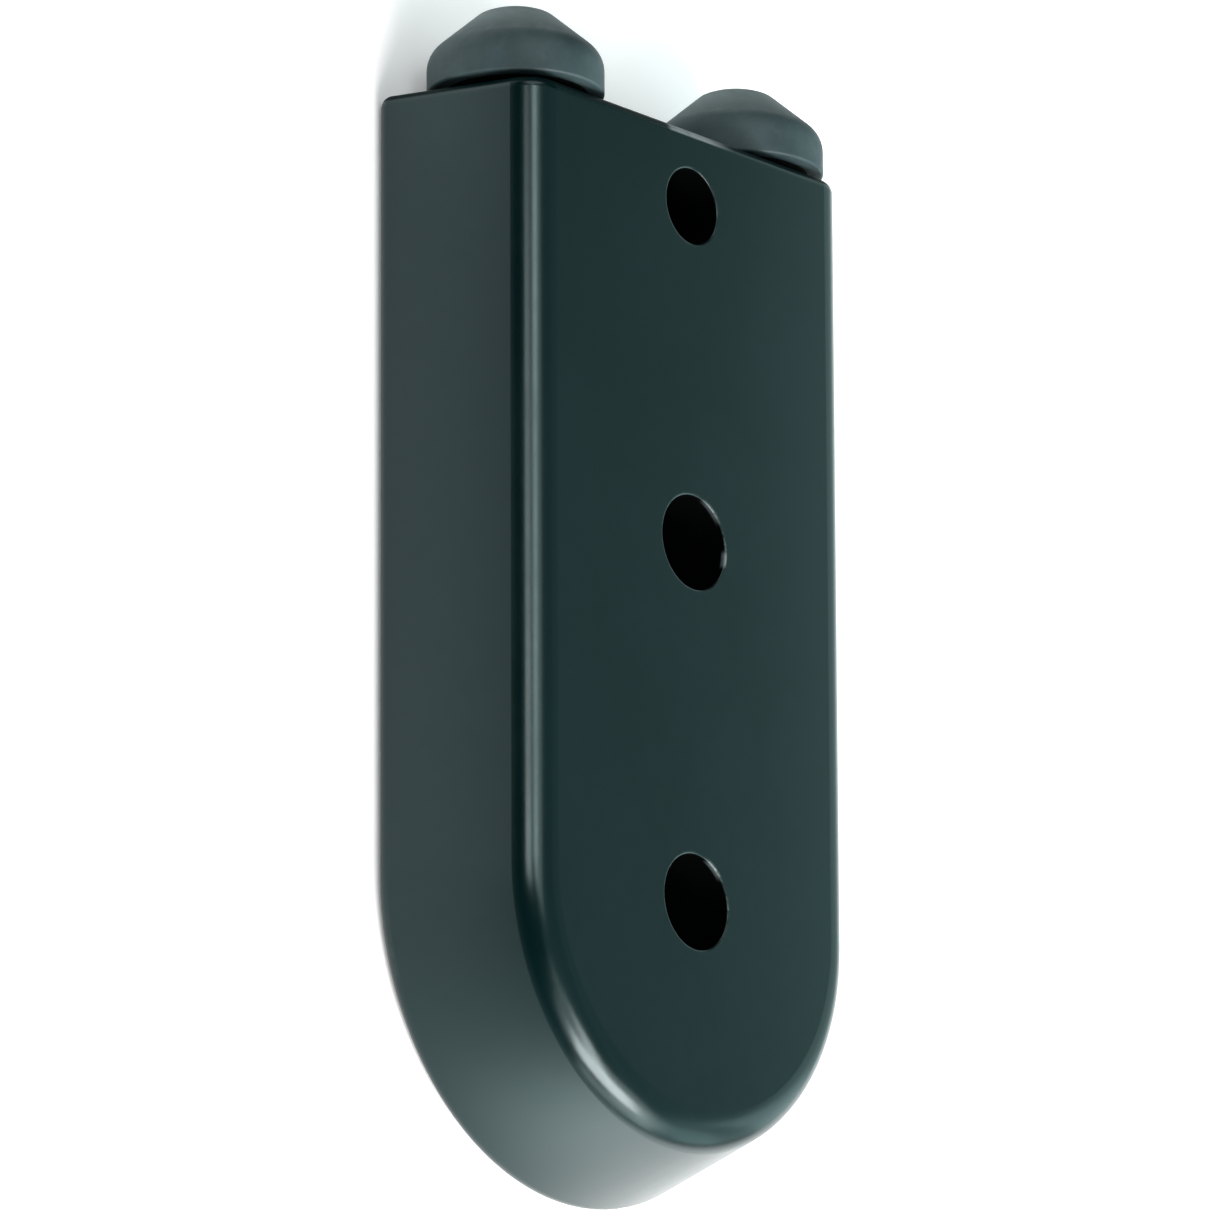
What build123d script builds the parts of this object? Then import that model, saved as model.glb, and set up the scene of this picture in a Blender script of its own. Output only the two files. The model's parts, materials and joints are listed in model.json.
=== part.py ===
from build123d import *
import math
import os

# Track end stop: a solid block that is bolted down at the end of a sailing-boat track, with two rubber bumpers
# on its flat end for the car to run into.
# Frame: +Z up, off the deck. The base lies on Z = 0. +X points along the track, towards the car, so the bumpers
# are at the +X end and the half-round tail is at the -X end. The origin is under the middle of the whole part.
# Millimetres.

# ---- block ----
base_width = 62.5            # across the base, before its edge is rounded
block_height = 19.0          # base to front face
side_draft = 15.0            # degrees, lean of the sides and of the tail
end_x = 53.8                 # flat end face; puts the origin under the middle of the whole part
tail_centre = 87.5           # flat end face to the centre of the round tail
front_round = 4.2            # long edges of the front face and its tail edge
end_round = 1.3              # edges of the flat end face
base_round = 1.4             # edge round the base

# ---- bolt holes, measured from the flat end ----
small_hole_d = 8.5           # clears an M8 bolt
large_hole_d = 10.5          # clears an M10 bolt
small_hole_from_end = 9.0
middle_hole_from_end = 47.25
tail_hole_from_end = 87.5
mouth_round = 0.25           # front mouths, edge only broken
foot_chamfer = 0.4           # base mouths

# ---- bumpers ----
bumper_y = 18.85             # off the centre line
bumper_z = 9.75              # above the base
bumper_r = 9.7
bumper_height = 9.9
bumper_gap = 0.85            # bumper foot to flat end face, the thickness of the washer
rim_height = 2.75            # top of the straight rim
shoulder_r = 3.2             # round between rim and cone
cone_angle = 40.8            # degrees, slope of the cone
nose_r = 4.2                 # radius at which the cone meets the nose
foot_round = 0.3

# ---- plate, stud and washer inside each bumper ----
plate_r = 8.0
plate_t = 1.5
stud_r = 3.0                 # M6
stud_pitch = 1.0
stud_engaged = 12.0          # thread inside the block
stud_head_r = 4.6
stud_head_t = 1.6
collar_r = 3.4               # plain collar that is riveted into the plate
washer_r = 6.0
washer_hole_r = 3.2
tapped_r = 3.02              # tapped hole, drawn plain at the thread's major diameter
tapped_depth = 14.0
drill_r = 2.5
drill_depth = 16.5

os.makedirs("parts", exist_ok=True)


def save(shape, name):
    shape.label = name
    export_step(shape, f"parts/{name}.step")


# ------------------------------------------------------------------ block
tail_x = end_x - tail_centre
half_base = base_width / 2
spare = 12.0                 # stock beyond the flat end, cut away below

with BuildPart() as block:
    # base outline: straight sides and a half-round tail
    with BuildSketch(Plane.XY):
        with BuildLine():
            a = (end_x + spare, -half_base)
            b = (tail_x, -half_base)
            c = (tail_x - half_base, 0)
            d = (tail_x, half_base)
            e = (end_x + spare, half_base)
            Line(a, e)
            Line(e, d)
            ThreePointArc(d, c, b)
            Line(b, a)
        make_face()
    extrude(amount=block_height, taper=side_draft)
    # long front edges and the tail's front edge
    top = block.faces().sort_by(Axis.Z)[-1]
    rim = [ed for ed in top.edges() if ed.center().X < end_x - 1]
    fillet(rim, front_round)
    # the flat end
    with Locations((end_x + 30, 0, block_height / 2)):
        Box(60, base_width + 20, block_height + 20, mode=Mode.SUBTRACT)
    end_face = block.faces().filter_by(Axis.X).sort_by(Axis.X)[-1]
    chain = [ed for ed in end_face.edges() if ed.center().Z > 0.1]
    fillet(chain, end_round)
    base_face = block.faces().sort_by(Axis.Z)[0]
    fillet(base_face.edges(), base_round)
    # bolt holes
    for from_end, dia in ((small_hole_from_end, small_hole_d), (middle_hole_from_end, large_hole_d),
                          (tail_hole_from_end, large_hole_d)):
        x = end_x - from_end
        with Locations((x, 0, block_height / 2)):
            Cylinder(dia / 2, block_height + 4, mode=Mode.SUBTRACT)
        r = dia / 2
        with BuildSketch(Plane.XZ):
            with BuildLine():
                m = mouth_round
                Line((x, block_height + 1), (x + r + m, block_height + 1))
                Line((x + r + m, block_height + 1), (x + r + m, block_height))
                ThreePointArc((x + r + m, block_height),
                              (x + r + m * (1 - math.sqrt(0.5)), block_height - m * (1 - math.sqrt(0.5))),
                              (x + r, block_height - m))
                Line((x + r, block_height - m), (x, block_height - m))
                Line((x, block_height - m), (x, block_height + 1))
            make_face()
        revolve(axis=Axis((x, 0, 0), (0, 0, 1)), mode=Mode.SUBTRACT)
        with BuildSketch(Plane.XZ):
            with BuildLine():
                Polyline((x, -1), (x + r + foot_chamfer + 1, -1), (x + r - 0.5, foot_chamfer + 0.5),
                         (x, foot_chamfer + 0.5), close=True)
            make_face()
        revolve(axis=Axis((x, 0, 0), (0, 0, 1)), mode=Mode.SUBTRACT)
    # tapped holes for the bumper studs, with a drill point at the bottom and a small lead-in at the mouth
    for s in (1, -1):
        with BuildSketch(Plane.XY.offset(bumper_z)):
            with BuildLine():
                y0 = s * bumper_y
                tip = drill_r / math.tan(math.radians(59))
                Polyline((end_x + 1, y0), (end_x + 1, y0 + s * (tapped_r + 1.4)), (end_x - 0.4, y0 + s * tapped_r),
                         (end_x - tapped_depth, y0 + s * tapped_r), (end_x - tapped_depth - 0.5, y0 + s * drill_r),
                         (end_x - drill_depth, y0 + s * drill_r), (end_x - drill_depth - tip, y0), close=True)
            make_face()
        revolve(axis=Axis((0, s * bumper_y, bumper_z), (1, 0, 0)), mode=Mode.SUBTRACT)

save(block.part, "end_stop_body")


# ------------------------------------------------------------------ bumpers
# Drawn on the Z axis with the foot at Z = 0, then turned so that the nose points along +X.
def place(shape, s):
    return Pos(end_x + bumper_gap, s * bumper_y, bumper_z) * Rot(0, 90, 0) * shape


ca = math.radians(cone_angle)
turn = math.radians(90 - cone_angle)
sh_c = (bumper_r - shoulder_r, rim_height)                                   # centre of the shoulder
sh_mid = (sh_c[0] + shoulder_r * math.cos(turn / 2), sh_c[1] + shoulder_r * math.sin(turn / 2))
sh_end = (sh_c[0] + shoulder_r * math.cos(turn), sh_c[1] + shoulder_r * math.sin(turn))
nose_h = sh_end[1] + (sh_end[0] - nose_r) * math.tan(ca)
sag = bumper_height - nose_h
nose_sphere = (nose_r ** 2 + sag ** 2) / (2 * sag)
na = math.asin(nose_r / nose_sphere) / 2
nose_mid = (nose_sphere * math.sin(na), bumper_height - nose_sphere * (1 - math.cos(na)))


def bumper_rubber():
    with BuildPart() as p:
        with BuildSketch(Plane.XZ):
            with BuildLine():
                Line((0, 0), (bumper_r, 0))
                Line((bumper_r, 0), (bumper_r, rim_height))
                ThreePointArc((bumper_r, rim_height), sh_mid, sh_end)
                Line(sh_end, (nose_r, nose_h))
                ThreePointArc((nose_r, nose_h), nose_mid, (0, bumper_height))
                Line((0, bumper_height), (0, 0))
            make_face()
        revolve(axis=Axis.Z)
        foot = p.edges().filter_by(GeomType.CIRCLE).sort_by(Axis.Z)[0]
        fillet(foot, foot_round)
        nose = [ed for ed in p.edges().filter_by(GeomType.CIRCLE) if abs(ed.center().Z - nose_h) < 1e-3]
        fillet(nose, 1.5)
        # pocket for the plate and for the stud's head
        with BuildSketch(Plane.XZ):
            with BuildLine():
                Polyline((0, 0), (plate_r, 0), (plate_r, plate_t), (stud_head_r, plate_t),
                         (stud_head_r, plate_t + stud_head_t), (0, plate_t + stud_head_t), close=True)
            make_face()
        revolve(axis=Axis.Z, mode=Mode.SUBTRACT)
    return p.part


def bumper_plate():
    with BuildPart() as p:
        Cylinder(plate_r, plate_t, align=(Align.CENTER, Align.CENTER, Align.MIN))
        Cylinder(collar_r, plate_t * 3, mode=Mode.SUBTRACT)
    return p.part


def bumper_stud():
    # head, collar and thread; the thread is drawn as closed rings of the M6 profile
    thread_top = -0.6
    thread_end = -(bumper_gap + stud_engaged)
    core = stud_r - 0.6134 * stud_pitch
    pts = [(0, plate_t + stud_head_t), (stud_head_r - 0.3, plate_t + stud_head_t), (stud_head_r, plate_t + stud_head_t - 0.3),
           (stud_head_r, plate_t), (collar_r, plate_t), (collar_r, 0), (core, 0), (core, thread_top)]
    z = thread_top
    while z - stud_pitch > thread_end + 0.6:
        pts += [(stud_r, z - 0.4 * stud_pitch), (stud_r, z - 0.525 * stud_pitch), (core, z - 0.875 * stud_pitch),
                (core, z - stud_pitch)]
        z -= stud_pitch
    pts += [(core, thread_end + 0.35), (core - 0.35, thread_end), (0, thread_end)]
    with BuildPart() as p:
        with BuildSketch(Plane.XZ):
            with BuildLine():
                Polyline(*pts, close=True)
            make_face()
        revolve(axis=Axis.Z)
    return p.part


def bumper_washer():
    with BuildPart() as p:
        with Locations((0, 0, -bumper_gap / 2)):
            Cylinder(washer_r, bumper_gap)
            Cylinder(washer_hole_r, bumper_gap * 3, mode=Mode.SUBTRACT)
    return p.part


for side, s in (("left", 1), ("right", -1)):
    save(place(bumper_rubber(), s), f"bumper_rubber_{side}")
    save(place(bumper_plate(), s), f"bumper_plate_{side}")
    save(place(bumper_stud(), s), f"bumper_stud_{side}")
    save(place(bumper_washer(), s), f"bumper_washer_{side}")
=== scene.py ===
import json
import math
import bpy
from mathutils import Matrix, Vector


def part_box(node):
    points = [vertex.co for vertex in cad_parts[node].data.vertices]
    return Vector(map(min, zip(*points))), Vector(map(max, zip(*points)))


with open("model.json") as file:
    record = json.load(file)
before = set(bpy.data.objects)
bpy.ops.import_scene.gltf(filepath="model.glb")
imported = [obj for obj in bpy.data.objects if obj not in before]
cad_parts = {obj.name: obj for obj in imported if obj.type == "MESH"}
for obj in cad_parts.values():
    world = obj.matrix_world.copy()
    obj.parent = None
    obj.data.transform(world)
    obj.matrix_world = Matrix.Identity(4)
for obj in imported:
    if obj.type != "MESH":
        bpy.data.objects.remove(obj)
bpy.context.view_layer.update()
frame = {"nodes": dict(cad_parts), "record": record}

nodes = frame["nodes"]
record = frame["record"]
mounts = {m["name"]: m for m in record["mounts"]}
scene = bpy.context.scene
scene.view_settings.view_transform = "Standard"
scene.view_settings.look = "None"


# ------------------------------------------------------------------ node helpers
class Nodes:
    """A small wrapper round a material's node tree."""

    def __init__(self, name):
        self.mat = bpy.data.materials.new(name)
        self.mat.use_nodes = True
        self.t = self.mat.node_tree
        self.bsdf = self.t.nodes["Principled BSDF"]
        self.pos = self.new("ShaderNodeTexCoord").outputs["Object"]

    def new(self, kind, **props):
        n = self.t.nodes.new(kind)
        for k, v in props.items():
            setattr(n, k, v)
        return n

    def link(self, a, b):
        self.t.links.new(a, b)

    def put(self, socket, value):
        if hasattr(value, "is_linked"):
            self.link(value, socket)
        else:
            socket.default_value = value

    def noise(self, scale, detail=4.0, rough=0.55, vec=None):
        n = self.new("ShaderNodeTexNoise")
        self.link(vec or self.pos, n.inputs["Vector"])
        n.inputs["Scale"].default_value = scale
        n.inputs["Detail"].default_value = detail
        n.inputs["Roughness"].default_value = rough
        return n.outputs["Fac"]

    def math(self, op, a, b=0.0, clamp=False):
        n = self.new("ShaderNodeMath", operation=op, use_clamp=clamp)
        self.put(n.inputs[0], a)
        self.put(n.inputs[1], b)
        return n.outputs[0]

    def ramp(self, value, lo, hi, to_lo=0.0, to_hi=1.0, smooth=True):
        n = self.new("ShaderNodeMapRange", interpolation_type="SMOOTHSTEP" if smooth else "LINEAR")
        self.put(n.inputs["Value"], value)
        n.inputs["From Min"].default_value = lo
        n.inputs["From Max"].default_value = hi
        n.inputs["To Min"].default_value = to_lo
        n.inputs["To Max"].default_value = to_hi
        return n.outputs[0]

    def mix(self, fac, a, b):
        n = self.new("ShaderNodeMix", data_type="RGBA")
        self.put(n.inputs["Factor"], fac)
        self.put(n.inputs[6], a)
        self.put(n.inputs[7], b)
        return n.outputs[2]

    def bump(self, height, strength, distance, normal=None):
        n = self.new("ShaderNodeBump")
        n.inputs["Strength"].default_value = strength
        n.inputs["Distance"].default_value = distance
        self.put(n.inputs["Height"], height)
        if normal is not None:
            self.link(normal, n.inputs["Normal"])
        return n.outputs["Normal"]

    def radial(self, centre, axis="Z"):
        """Distance of the shaded point from an axis-parallel line through centre."""
        sub = self.new("ShaderNodeVectorMath", operation="SUBTRACT")
        self.link(self.pos, sub.inputs[0])
        sub.inputs[1].default_value = centre
        mul = self.new("ShaderNodeVectorMath", operation="MULTIPLY")
        self.link(sub.outputs[0], mul.inputs[0])
        mul.inputs[1].default_value = (0 if axis == "X" else 1, 0 if axis == "Y" else 1, 0 if axis == "Z" else 1)
        ln = self.new("ShaderNodeVectorMath", operation="LENGTH")
        self.link(mul.outputs[0], ln.inputs[0])
        return ln.outputs["Value"]

    def axis_value(self, axis):
        s = self.new("ShaderNodeSeparateXYZ")
        self.link(self.pos, s.inputs[0])
        return s.outputs["XYZ".index(axis)]


def assign(obj, mat):
    obj.data.materials.clear()
    obj.data.materials.append(mat)


# ------------------------------------------------------------------ black anodised block
def anodised():
    n = Nodes("black_anodised_aluminium_look")
    b = n.bsdf
    lo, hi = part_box("end_stop_body")
    # bead-blasted grain below the anodic layer, and the slow unevenness of a hand-held blast
    grain = n.noise(5200.0, 3.0, 0.6)
    patch = n.noise(55.0, 3.0, 0.5)
    cloud = n.noise(420.0, 4.0, 0.6)
    z = n.axis_value("Z")
    y = n.axis_value("Y")
    x = n.axis_value("X")
    colour = n.mix(patch, (0.0001, 0.0062, 0.0068, 1), (0.0003, 0.0082, 0.0088, 1))
    # a lighter ring at the crisp mouths of the bolt holes, partly thinner and a little greyer anodising and partly a
    # painted rim highlight, and painted shade that darkens the bore walls
    ring_wear_and_highlight = painted_bore_shade = None
    for name in ("small_bolt_hole", "middle_bolt_hole", "tail_bolt_hole"):
        m = mounts[name]
        r = m["dims"]["r_mm"] / 1000
        d = n.radial((m["pos_m"][0], m["pos_m"][1], 0))
        outer = n.ramp(d, r + 0.00012, r + 0.00042, 1.0, 0.0)
        wall = n.ramp(d, r + 0.00002, r + 0.00008, 1.0, 0.0)
        ring_wear_and_highlight = outer if ring_wear_and_highlight is None else n.math("MAXIMUM", ring_wear_and_highlight, outer)
        painted_bore_shade = wall if painted_bore_shade is None else n.math("MAXIMUM", painted_bore_shade, wall)
    # short arcs just within the mouths, painted bright as glints (painted highlights)
    painted_glints = None
    for name, angle, length, most in (("middle_bolt_hole", -36, 0.0021, 0.28), ("middle_bolt_hole", -99, 0.0012, 1.0),
                                      ("tail_bolt_hole", -36, 0.0018, 0.40)):
        m = mounts[name]
        r = m["dims"]["r_mm"] / 1000
        t = math.radians(angle)
        spot = n.ramp(n.radial((m["pos_m"][0] + r * math.cos(t), m["pos_m"][1] + r * math.sin(t), 0)), length * 0.3, length, most, 0.0)
        painted_glints = spot if painted_glints is None else n.math("MAXIMUM", painted_glints, spot)
    painted_glints = n.math("MULTIPLY", n.math("MULTIPLY", painted_glints, ring_wear_and_highlight), n.ramp(z, hi.z - 0.0007, hi.z - 0.0003))
    painted_bore_shade = n.math("MULTIPLY", painted_bore_shade, n.math("SUBTRACT", 1.0, painted_glints))
    ring_wear_and_highlight = n.math("MULTIPLY", ring_wear_and_highlight, n.ramp(z, hi.z - 0.0003, hi.z - 0.0001))
    ring_wear_and_highlight = n.math("MULTIPLY", ring_wear_and_highlight, n.ramp(cloud, 0.38, 0.62, 0.2, 0.9))
    # rounded edge of the flat end: matt from blasting, with one short stretch between the bumpers painted with a
    # bright highlight line
    matt = n.math("MULTIPLY", n.ramp(x, hi.x - 0.0010, hi.x - 0.0006), n.ramp(x, hi.x - 0.00010, hi.x - 0.00002, 1.0, 0.0))
    edge = n.radial((hi.x - 0.00062, 0, hi.z - 0.00020), "Y")
    edge = n.ramp(edge, 0.00035, 0.00060, 1.0, 0.0)
    stretch = n.math("MULTIPLY", n.ramp(y, -0.0078, -0.0022), n.ramp(y, 0.0030, 0.0042, 1.0, 0.0))
    painted_edge_highlight = n.math("MULTIPLY", edge, n.math("MULTIPLY", stretch, n.ramp(cloud, 0.3, 0.55, 0.7, 1.0)))
    # lighter mouth ring: partly thinner anodising, partly a painted highlight on the rims
    colour = n.mix(ring_wear_and_highlight, colour, (0.016, 0.026, 0.027, 1))
    # painted highlight: a bright line along the rounded end edge
    colour = n.mix(painted_edge_highlight, colour, (0.20, 0.24, 0.25, 1))
    # painted shade: the bore walls are coloured near black
    colour = n.mix(painted_bore_shade, colour, (0.0004, 0.0006, 0.0006, 1))
    # painted highlight: bright glint arcs at the hole mouths
    colour = n.mix(painted_glints, colour, (0.15, 0.19, 0.195, 1))
    dulled = n.math("MAXIMUM", painted_bore_shade, matt)
    n.put(b.inputs["Base Color"], colour)
    rough = n.ramp(patch, 0.3, 0.7, 0.21, 0.24)
    rough = n.math("ADD", rough, n.ramp(cloud, 0.3, 0.7, -0.012, 0.012))
    rough = n.math("ADD", rough, n.math("MULTIPLY", dulled, 0.3))
    n.put(b.inputs["Roughness"], rough)
    b.inputs["IOR"].default_value = 1.5
    n.put(b.inputs["Specular IOR Level"], n.math("SUBTRACT", 0.5, n.math("MULTIPLY", dulled, 0.45)))
    b.inputs["Specular Tint"].default_value = (0.75, 1.0, 1.0, 1.0)
    # fly-cutter arcs on the underside, which is faced flat
    arcs = n.radial((0.0, 0.11, 0))
    arcs = n.math("SINE", n.math("MULTIPLY", arcs, 9000.0))
    arcs = n.math("MULTIPLY", arcs, n.ramp(z, 0.00002, 0.0001, 1.0, 0.0))
    normal = n.bump(cloud, 0.06, 0.00004)
    normal = n.bump(arcs, 0.10, 0.00002, normal)
    n.link(n.bump(grain, 0.10, 0.00002, normal), b.inputs["Normal"])
    return n.mat


# ------------------------------------------------------------------ moulded rubber
def rubber():
    n = Nodes("bumper_rubber_look")
    b = n.bsdf
    lo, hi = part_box("bumper_rubber_left")
    x = n.axis_value("X")
    pores = n.noise(3600.0, 5.0, 0.7)
    patch = n.noise(160.0, 4.0, 0.6)
    bloom = n.noise(700.0, 5.0, 0.65)
    colour = n.mix(n.ramp(patch, 0.3, 0.7), (0.021, 0.044, 0.048, 1), (0.038, 0.070, 0.075, 1))
    colour = n.mix(n.ramp(bloom, 0.5, 0.75, 0.0, 0.35), colour, (0.060, 0.092, 0.095, 1))
    # the front tip of the bumper is painted paler: partly scuffing where the car touches it, partly a painted
    # highlight on the lit cap
    nose_scuff_and_highlight = n.ramp(x, hi.x - 0.0045, hi.x - 0.0015)
    nose_scuff_and_highlight = n.math("MULTIPLY", nose_scuff_and_highlight, n.ramp(bloom, 0.35, 0.65, 0.45, 0.9))
    colour = n.mix(nose_scuff_and_highlight, colour, (0.110, 0.155, 0.156, 1))
    n.put(b.inputs["Base Color"], colour)
    n.put(b.inputs["Roughness"], n.ramp(bloom, 0.3, 0.7, 0.55, 0.68))
    b.inputs["IOR"].default_value = 1.5
    b.inputs["Specular IOR Level"].default_value = 0.4
    n.link(n.bump(pores, 0.22, 0.00004, n.bump(bloom, 0.15, 0.00008)), b.inputs["Normal"])
    return n.mat


# ------------------------------------------------------------------ steel and plastic parts
def steel(name, colour, rough):
    n = Nodes(name)
    b = n.bsdf
    b.inputs["Metallic"].default_value = 1.0
    stain = n.noise(240.0, 4.0, 0.6)
    turned = n.noise(2600.0, 2.0, 0.5)
    n.put(b.inputs["Base Color"], n.mix(stain, tuple(c * 0.86 for c in colour[:3]) + (1,), colour))
    n.put(b.inputs["Roughness"], n.ramp(turned, 0.3, 0.7, rough - 0.05, rough + 0.08))
    n.link(n.bump(turned, 0.15, 0.00003), b.inputs["Normal"])
    return n.mat


def dull(name, dark, pale, rough):
    """Black primer or black plastic: a dull dark skin with a slight mottle."""
    n = Nodes(name)
    b = n.bsdf
    mottle = n.noise(600.0, 4.0, 0.6)
    fine = n.noise(4200.0, 3.0, 0.6)
    n.put(b.inputs["Base Color"], n.mix(n.ramp(mottle, 0.3, 0.7), dark, pale))
    n.put(b.inputs["Roughness"], n.ramp(fine, 0.3, 0.7, rough - 0.06, rough + 0.06))
    b.inputs["Specular IOR Level"].default_value = 0.15
    n.link(n.bump(fine, 0.2, 0.00003), b.inputs["Normal"])
    return n.mat


block_mat = anodised()
rubber_mat = rubber()
stainless = steel("stainless_steel_look", (0.58, 0.57, 0.55, 1), 0.28)
primer = dull("primed_steel_plate_look", (0.0010, 0.0012, 0.0013, 1), (0.0022, 0.0026, 0.0027, 1), 0.85)
acetal = dull("black_acetal_look", (0.0012, 0.0014, 0.0015, 1), (0.0024, 0.0027, 0.0028, 1), 0.7)
assign(nodes["end_stop_body"], block_mat)
for s in ("left", "right"):
    assign(nodes[f"bumper_rubber_{s}"], rubber_mat)
    assign(nodes[f"bumper_plate_{s}"], primer)
    assign(nodes[f"bumper_stud_{s}"], stainless)
    assign(nodes[f"bumper_washer_{s}"], acetal)

# ------------------------------------------------------------------ floor
# pale paper, painted with light and shade: it glows in a pool behind the tail and a little behind the bumpers, and its
# colour darkens into painted shade further out
floor_look = Nodes("floor_look")
across = floor_look.axis_value("Y")
across = floor_look.math("MAXIMUM", across, floor_look.math("MULTIPLY", across, -0.62))
along = floor_look.axis_value("X")
reach = floor_look.math("ADD", floor_look.math("POWER", across, 2.0), floor_look.math("POWER", floor_look.math("MULTIPLY", along, 0.62), 2.0))
# painted shade: the floor colour darkens with distance from the object
shade = floor_look.ramp(floor_look.math("SQRT", reach), 0.086, 0.160)
floor_look.put(floor_look.bsdf.inputs["Base Color"], floor_look.mix(shade, (0.79, 0.84, 0.84, 1), (0.275, 0.30, 0.30, 1)))
floor_look.bsdf.inputs["Roughness"].default_value = 0.9
floor_look.bsdf.inputs["Specular IOR Level"].default_value = 0.1
# painted light: the floor glows in a pool behind the tail and behind the bumpers
pool = floor_look.radial((-0.113, -0.003, 0))
pool = floor_look.math("POWER", 2.71828, floor_look.math("MULTIPLY", floor_look.math("POWER", pool, 2.0), -620.0))
glow = floor_look.math("ADD", floor_look.math("MULTIPLY", pool, 2.9), floor_look.ramp(along, 0.050, 0.075, 0.15, 0.5))
glow = floor_look.math("MULTIPLY", glow, floor_look.math("SUBTRACT", 1.0, shade))
floor_look.bsdf.inputs["Emission Color"].default_value = (1, 1, 1, 1)
floor_look.put(floor_look.bsdf.inputs["Emission Strength"], glow)
bpy.ops.mesh.primitive_circle_add(vertices=96, radius=9.0, fill_type="NGON", location=(0, 0, -0.00002))
floor = bpy.context.object
floor.name = "floor"
assign(floor, floor_look.mat)


# ------------------------------------------------------------------ lights
def aim(obj, at):
    obj.rotation_mode = "QUATERNION"
    obj.rotation_quaternion = (Vector(at) - obj.location).to_track_quat("-Z", "Y")


def softbox(name, azimuth, elevation, distance, width, height, radiance, colour=(1, 1, 1), at=(0, 0, 0.01)):
    """azimuth 0 is +X and 90 is +Y. radiance is what a mirror would see."""
    a, e = math.radians(azimuth), math.radians(elevation)
    light = bpy.data.lights.new(name, "AREA")
    light.shape = "RECTANGLE"
    light.size, light.size_y = width, height
    light.energy = radiance * math.pi * width * height
    light.color = colour
    ob = bpy.data.objects.new(name, light)
    ob.location = Vector(at) + distance * Vector((math.cos(a) * math.cos(e), math.sin(a) * math.cos(e), math.sin(e)))
    scene.collection.objects.link(ob)
    aim(ob, at)
    return ob


def window(name, azimuth, elevation, wide, high, radiance, colour=(1, 1, 1)):
    """A softbox 1.5 m away that fills wide by high degrees of the object's surroundings."""
    softbox(name, azimuth, elevation, 1.5, 3.0 * math.tan(math.radians(wide / 2)), 3.0 * math.tan(math.radians(high / 2)),
            radiance, colour)


cool = (0.76, 1.0, 1.0)      # the fills are a little cooler than the softbox behind the tail
# the big softbox behind the tail, its soft flanks and its low lip
window("tail_softbox", -178, 32, 38, 20, 15.5, (1.0, 0.86, 0.86))
window("tail_softbox_high", 179, 51, 13, 20, 9.0, (1.0, 0.86, 0.86))
window("tail_flank_right", -160, 32, 30, 40, 2.6)
window("tail_flank_left", 160, 45, 30, 40, 1.4)
window("tail_lip", 188, 8, 44, 14, 3.0)
# narrow strip on the left, which draws the line of light along the rounded edge
window("strip_low", 74, 39.5, 11, 15, 7.2, (1.0, 0.95, 0.95))
window("strip_high", 58, 57, 14, 12, 5.6)
window("strip_top", 60, 66, 22, 18, 2.0)
# weak fill on the right and overhead
window("right_fill", -115, 20, 50, 38, 0.95, cool)
window("right_fill_high", -95, 48, 50, 30, 0.36, cool)
window("right_fill_tail", -140, 15, 40, 28, 0.9, cool)
window("overhead", 0, 88, 60, 60, 0.30, cool)
# low white card close by on the right
softbox("right_card", -90, 0, 0.10, 0.24, 0.104, 0.95, cool, at=(0.035, -0.032, 0.053))
# faint fill from the flat end, for the bumper noses
window("end_fill", 20, 35, 40, 30, 1.6)

world = bpy.data.worlds.new("studio")
scene.world = world
world.use_nodes = True
world.node_tree.nodes["Background"].inputs["Color"].default_value = (1, 1, 1, 1)
world.node_tree.nodes["Background"].inputs["Strength"].default_value = 0.02

# ------------------------------------------------------------------ camera
cam = bpy.data.cameras.new("camera")
cam_ob = bpy.data.objects.new("camera", cam)
scene.collection.objects.link(cam_ob)
scene.camera = cam_ob
cam.sensor_width = 36.0
cam.lens = 355.85
cam.clip_start, cam.clip_end = 0.05, 50.0
yaw, pitch, roll = math.radians(49.957), math.radians(15.864), math.radians(-0.2466)
right = Vector((0, -math.cos(yaw), math.sin(yaw)))
up = Vector((math.cos(pitch), math.sin(yaw) * math.sin(pitch), math.cos(yaw) * math.sin(pitch)))
ahead = Vector((math.sin(pitch), -math.sin(yaw) * math.cos(pitch), -math.cos(yaw) * math.cos(pitch)))
right, up = right * math.cos(roll) + up * math.sin(roll), up * math.cos(roll) - right * math.sin(roll)
centre = Vector((0, 0, 0.0095))
eye = centre - ahead * 1.3053 - right * 0.002229 + up * 0.000971
cam_ob.matrix_world = Matrix((
    (right.x, up.x, -ahead.x, eye.x),
    (right.y, up.y, -ahead.y, eye.y),
    (right.z, up.z, -ahead.z, eye.z),
    (0, 0, 0, 1)))
